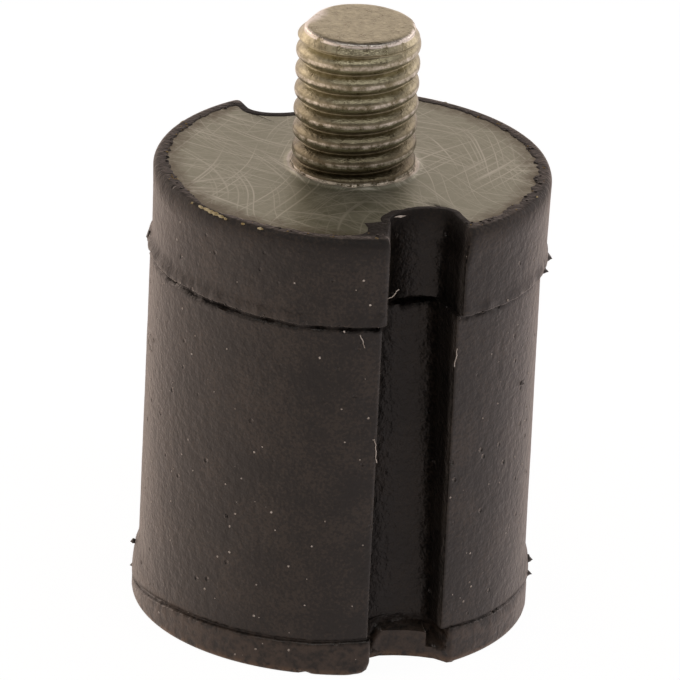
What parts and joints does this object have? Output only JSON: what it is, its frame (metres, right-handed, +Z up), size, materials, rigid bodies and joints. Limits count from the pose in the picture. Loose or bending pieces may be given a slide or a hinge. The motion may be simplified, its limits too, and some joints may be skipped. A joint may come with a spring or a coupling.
{
  "type": "bobbin vibration mount",
  "caption": "Cylindrical rubber vibration mount with a bonded steel plate at each end, a threaded stud on top, a threaded bush below and a moulded groove down each side.",
  "frame": {"origin": "middle of the bottom face, on the plane that the mount stands on", "axes": "+Z up along the stud, +Y and -Y towards the two side grooves"},
  "size_m": [0.019, 0.0186, 0.0296],
  "materials": {
    "rubber": "moulded matte natural rubber",
    "plate_steel": "zinc plated, finely scratched",
    "stud_steel": "zinc plated, rolled thread"
  },
  "bodies": {
    "root": {"rubber_body": "rubber", "top_plate": "plate_steel", "threaded_stud": "stud_steel", "bottom_plate": "plate_steel", "threaded_bush": "stud_steel"}
  },
  "joints": []
}
